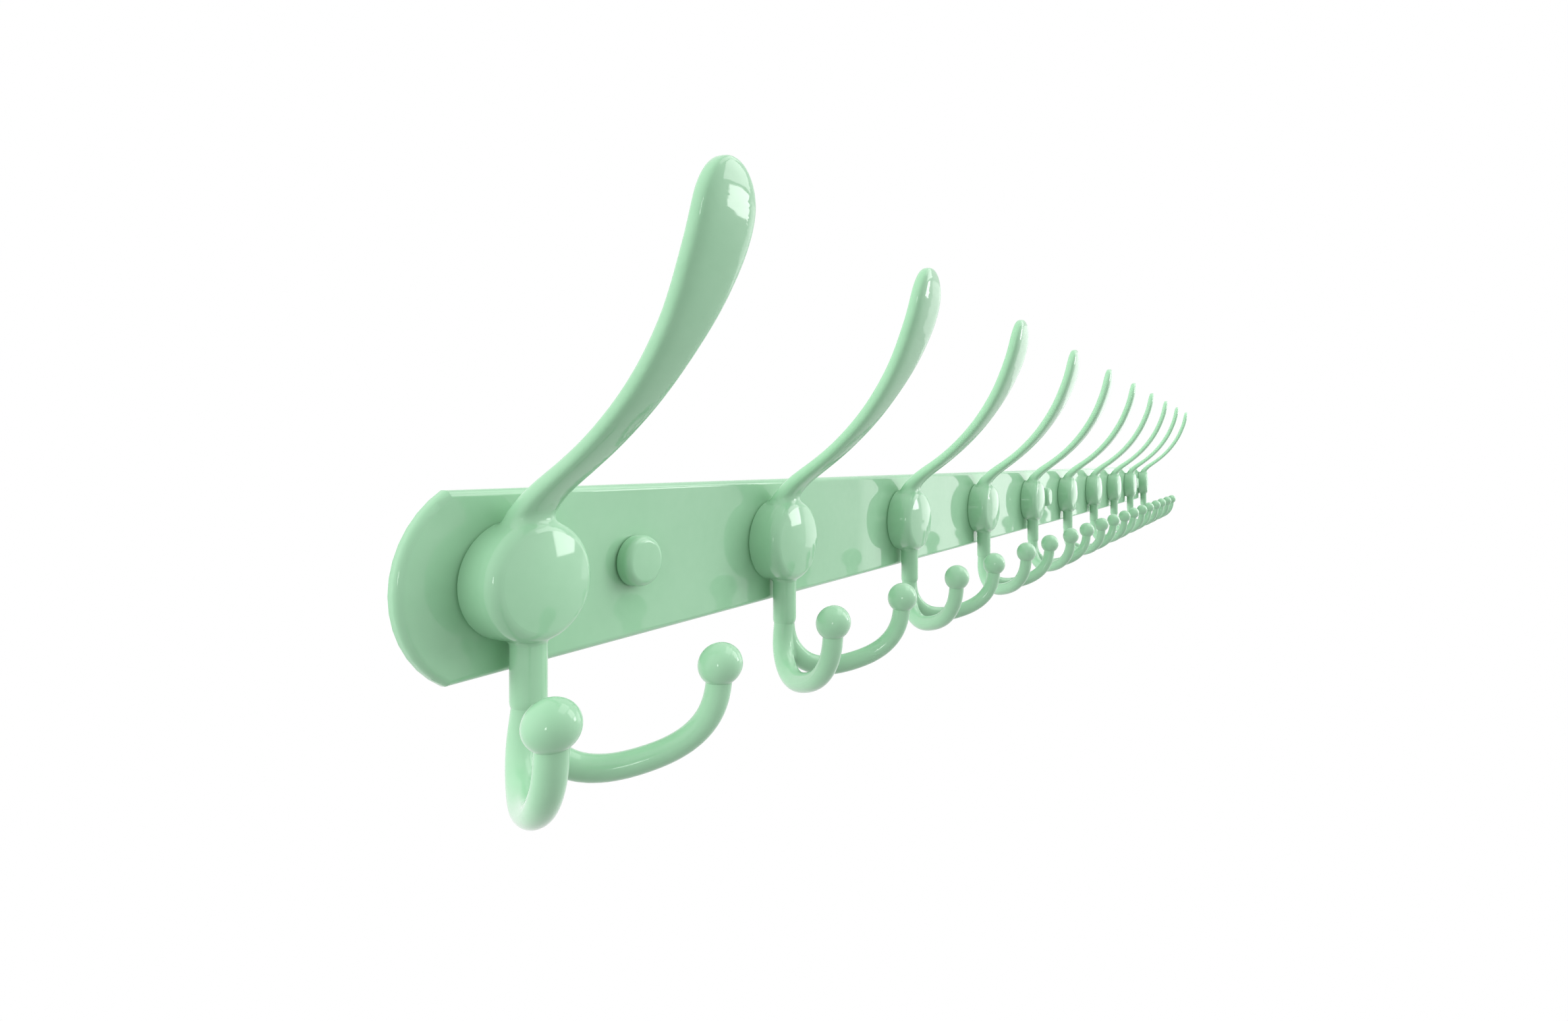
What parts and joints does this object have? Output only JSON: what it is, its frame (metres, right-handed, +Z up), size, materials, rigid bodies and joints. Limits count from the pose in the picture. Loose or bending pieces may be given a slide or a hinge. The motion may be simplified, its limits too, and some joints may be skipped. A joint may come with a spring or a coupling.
{
  "type": "wall coat rack",
  "caption": "Wall coat rack: a flat rail with arched ends carries a row of cast hooks, each with a curved paddle arm above and a pair of ball-ended arms below.",
  "frame": {"origin": "middle of the rail's wall face, where the middle wall screw leaves it", "axes": "+X along the rail, +Y into the wall, +Z up; the hooks stand out along -Y"},
  "size_m": [1.0056, 0.0907, 0.1387],
  "materials": {
    "rail_enamel": "glossy mint-green enamel on steel",
    "hook_enamel": "glossy mint-green enamel on cast zinc alloy",
    "cap_enamel": "glossy mint-green enamel",
    "screw_steel": "zinc-plated steel",
    "seat_nylon": "natural nylon"
  },
  "bodies": {
    "root": {"rail": "rail_enamel", "hook_01": "hook_enamel", "hook_02": "hook_enamel", "hook_03": "hook_enamel", "hook_04": "hook_enamel", "hook_05": "hook_enamel", "hook_06": "hook_enamel", "hook_07": "hook_enamel", "hook_08": "hook_enamel", "hook_09": "hook_enamel", "hook_10": "hook_enamel", "hook_screws": "screw_steel", "wall_screws": "screw_steel", "seat_left": "seat_nylon", "seat_middle": "seat_nylon", "seat_right": "seat_nylon", "cap_left": "cap_enamel", "cap_middle": "cap_enamel", "cap_right": "cap_enamel"}
  },
  "joints": []
}
